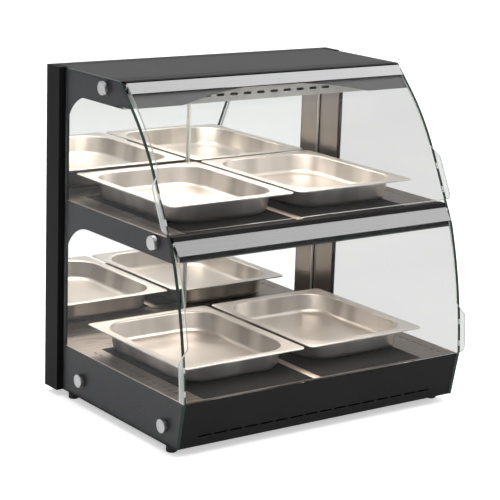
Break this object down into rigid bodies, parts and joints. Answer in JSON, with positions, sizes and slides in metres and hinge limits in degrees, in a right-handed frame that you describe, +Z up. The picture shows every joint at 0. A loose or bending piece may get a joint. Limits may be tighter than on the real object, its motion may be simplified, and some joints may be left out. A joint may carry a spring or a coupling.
{
  "type": "hot food display case",
  "caption": "Countertop heated display case with two decks behind bowed lift-up glass, mirrored rear sliding doors and steel food pans.",
  "frame": {"origin": "centre of the footprint of the overall box, on the surface that the feet stand on", "axes": "+Z up, +Y towards the rear doors, -Y towards the bowed front glass, +X to the right of someone facing the front"},
  "size_m": [0.642, 0.4636, 0.621],
  "materials": {
    "clear_glass": "polished toughened glass",
    "clear_pad": "soft clear pad",
    "turned_aluminium": "turned",
    "nylon": "moulded",
    "steel": "zinc plated",
    "black_frame": "fine satin powder coat",
    "grey_top": "satin powder coat",
    "stainless": "brushed",
    "pale_coat": "satin",
    "rubber": "moulded",
    "hot_plate": "satin non-stick coat",
    "silicone": "moulded",
    "fibre_board": "pressed mineral fibre",
    "lamp_glass": "frosted",
    "lamp_plastic": "moulded",
    "satin_aluminium": "satin anodised",
    "mirror": "silvered glass",
    "pan_steel": "bright pressed stainless",
    "knob_plastic": "moulded",
    "pilot_lens": "clear amber"
  },
  "bodies": {
    "case": {"base_pan": "black_frame", "cable_gland": "nylon", "canopy_ceiling": "pale_coat", "canopy_front_rail": "black_frame", "door_tracks": "satin_aluminium", "feet": "rubber", "front_fascia": "black_frame", "heater_mats": "silicone", "hinge_brackets": "steel", "hinge_pins": "steel", "insulation_boards": "fibre_board", "lamp_lenses": "lamp_glass", "lamp_sockets": "lamp_plastic", "lamp_tubes": "lamp_glass", "lower_deck": "stainless", "lower_hot_plates": "hot_plate", "panel_screws": "steel", "pilot_lamps": "pilot_lens", "post_liners": "stainless", "post_seals": "rubber", "rear_control_panel": "black_frame", "rear_post_left": "black_frame", "rear_post_right": "black_frame", "shelf_front_trim": "black_frame", "shelf_rear_rail": "black_frame", "shelf_tray": "stainless", "side_glass_bushes": "nylon", "side_glass_caps": "turned_aluminium", "side_glass_left": "clear_glass", "side_glass_right": "clear_glass", "side_glass_screws": "steel", "switch_housings": "nylon", "thermostat_bodies": "lamp_plastic", "top_panel": "grey_top", "top_rear_rail": "black_frame", "upper_deck": "stainless", "upper_hot_plates": "hot_plate"},
    "upper_flap": {"upper_flap_profile": "satin_aluminium", "upper_front_glass": "clear_glass", "upper_flap_bumpers": "clear_pad"},
    "lower_flap": {"lower_flap_profile": "satin_aluminium", "lower_front_glass": "clear_glass", "lower_flap_bumpers": "clear_pad"},
    "upper_left_door_leaf": {"upper_left_door": "mirror", "upper_left_pull": "satin_aluminium"},
    "upper_right_door_leaf": {"upper_right_door": "mirror", "upper_right_pull": "satin_aluminium"},
    "lower_left_door_leaf": {"lower_left_door": "mirror", "lower_left_pull": "satin_aluminium"},
    "lower_right_door_leaf": {"lower_right_door": "mirror", "lower_right_pull": "satin_aluminium"},
    "upper_left_food_pan": {"upper_left_pan": "pan_steel"},
    "upper_right_food_pan": {"upper_right_pan": "pan_steel"},
    "lower_left_food_pan": {"lower_left_pan": "pan_steel"},
    "lower_right_food_pan": {"lower_right_pan": "pan_steel"},
    "lower_knob": {"lower_heat_knob": "knob_plastic"},
    "upper_knob": {"upper_heat_knob": "knob_plastic"},
    "main_rocker": {"main_switch_rocker": "knob_plastic"},
    "lamp_rocker": {"lamp_switch_rocker": "knob_plastic"}
  },
  "joints": [
    {"name": "upper_flap_hinge", "type": "hinge", "parent": "case", "child": "upper_flap", "pos_m": [0, -0.01497, 0.61285], "axis": [-1, 0, 0], "range_deg": [0, 75]},
    {"name": "lower_flap_hinge", "type": "hinge", "parent": "case", "child": "lower_flap", "pos_m": [0, -0.17185, 0.36686], "axis": [-1, 0, 0], "range_deg": [0, 75]},
    {"name": "upper_left_door_slide", "type": "slide", "parent": "case", "child": "upper_left_door_leaf", "axis": [1, 0, 0], "range_m": [0, 0.285]},
    {"name": "upper_right_door_slide", "type": "slide", "parent": "case", "child": "upper_right_door_leaf", "axis": [-1, 0, 0], "range_m": [0, 0.285]},
    {"name": "lower_left_door_slide", "type": "slide", "parent": "case", "child": "lower_left_door_leaf", "axis": [1, 0, 0], "range_m": [0, 0.285]},
    {"name": "lower_right_door_slide", "type": "slide", "parent": "case", "child": "lower_right_door_leaf", "axis": [-1, 0, 0], "range_m": [0, 0.285]},
    {"name": "upper_left_pan_lift", "type": "slide", "parent": "case", "child": "upper_left_food_pan", "axis": [0, 0, 1], "range_m": [0, 0.06]},
    {"name": "upper_right_pan_lift", "type": "slide", "parent": "case", "child": "upper_right_food_pan", "axis": [0, 0, 1], "range_m": [0, 0.06]},
    {"name": "lower_left_pan_lift", "type": "slide", "parent": "case", "child": "lower_left_food_pan", "axis": [0, 0, 1], "range_m": [0, 0.06]},
    {"name": "lower_right_pan_lift", "type": "slide", "parent": "case", "child": "lower_right_food_pan", "axis": [0, 0, 1], "range_m": [0, 0.06]},
    {"name": "lower_heat_turn", "type": "hinge", "parent": "case", "child": "lower_knob", "pos_m": [0.13, 0.22456, 0.06], "axis": [0, 1, 0], "range_deg": [0, 270]},
    {"name": "upper_heat_turn", "type": "hinge", "parent": "case", "child": "upper_knob", "pos_m": [0.2, 0.22456, 0.06], "axis": [0, 1, 0], "range_deg": [0, 270]},
    {"name": "main_switch_rock", "type": "hinge", "parent": "case", "child": "main_rocker", "pos_m": [-0.06, 0.20476, 0.06], "axis": [-1, 0, 0], "range_deg": [0, 16]},
    {"name": "lamp_switch_rock", "type": "hinge", "parent": "case", "child": "lamp_rocker", "pos_m": [-0.02, 0.20476, 0.06], "axis": [-1, 0, 0], "range_deg": [0, 16]}
  ]
}
